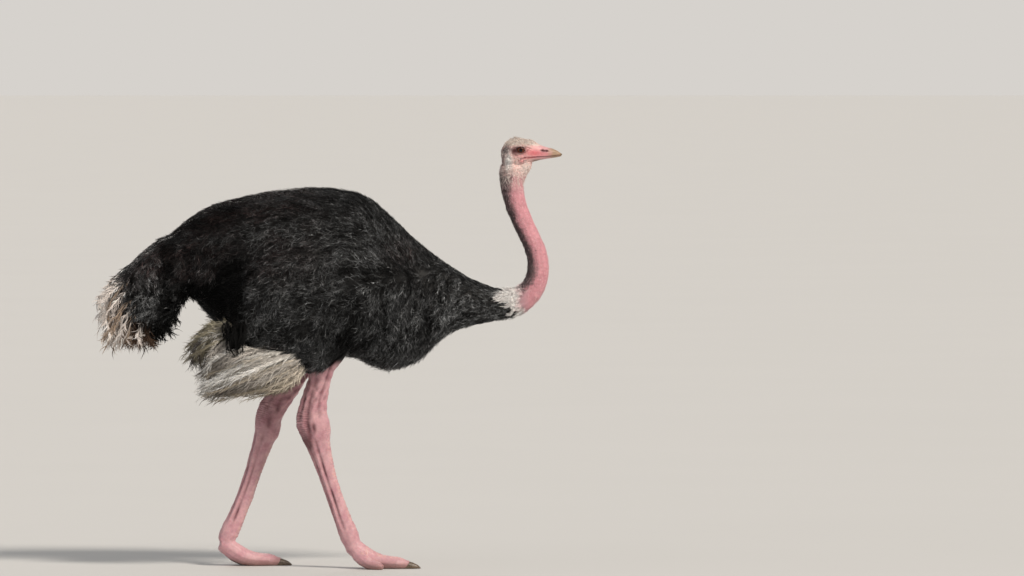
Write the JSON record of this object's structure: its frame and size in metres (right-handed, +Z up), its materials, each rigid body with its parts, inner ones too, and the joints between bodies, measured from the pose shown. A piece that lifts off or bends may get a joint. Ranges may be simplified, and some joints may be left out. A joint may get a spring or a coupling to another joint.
{
  "type": "ostrich",
  "caption": "Life-size still model of a male Masai ostrich in mid-stride, with black body plumage, white wing plumes, a pale-tipped tail and bare pink neck and legs.",
  "frame": {"origin": "on the floor, at the centre of the bird's length and width", "axes": "+X ahead towards the bill, +Y to the bird's left, +Z up"},
  "size_m": [1.6917, 0.5744, 1.5475],
  "materials": {
    "black_plumage": "soft black feather",
    "collar_plumage": "short white down",
    "white_plumage": "loose white and grey plumes",
    "tail_plumage": "loose plumes, black at the root and dirty white at the tip",
    "neck_skin": "bare matt skin with fine down",
    "head_skin": "skin under short pale bristles",
    "leg_skin": "bare skin with large scales down the front",
    "bill_skin": "smooth satin skin over horn",
    "claw_horn": "worn horn",
    "eye": "wet"
  },
  "bodies": {
    "root": {"trunk": "black_plumage", "neck_base": "black_plumage", "collar": "collar_plumage", "neck_lower": "neck_skin", "neck_middle": "neck_skin", "neck_upper": "neck_skin", "head": "head_skin", "bill_upper": "bill_skin", "bill_lower": "bill_skin", "eye_right": "eye", "eye_left": "eye", "tail": "black_plumage", "tail_plumes": "tail_plumage", "wing_right": "black_plumage", "wing_left": "black_plumage", "wing_plumes_right": "white_plumage", "wing_plumes_left": "white_plumage", "shank_right": "leg_skin", "shank_left": "leg_skin", "tarsus_right": "leg_skin", "tarsus_left": "leg_skin", "toe_big_right": "leg_skin", "toe_big_left": "leg_skin", "toe_small_right": "leg_skin", "toe_small_left": "leg_skin", "claw_right": "claw_horn", "claw_left": "claw_horn"}
  },
  "joints": []
}
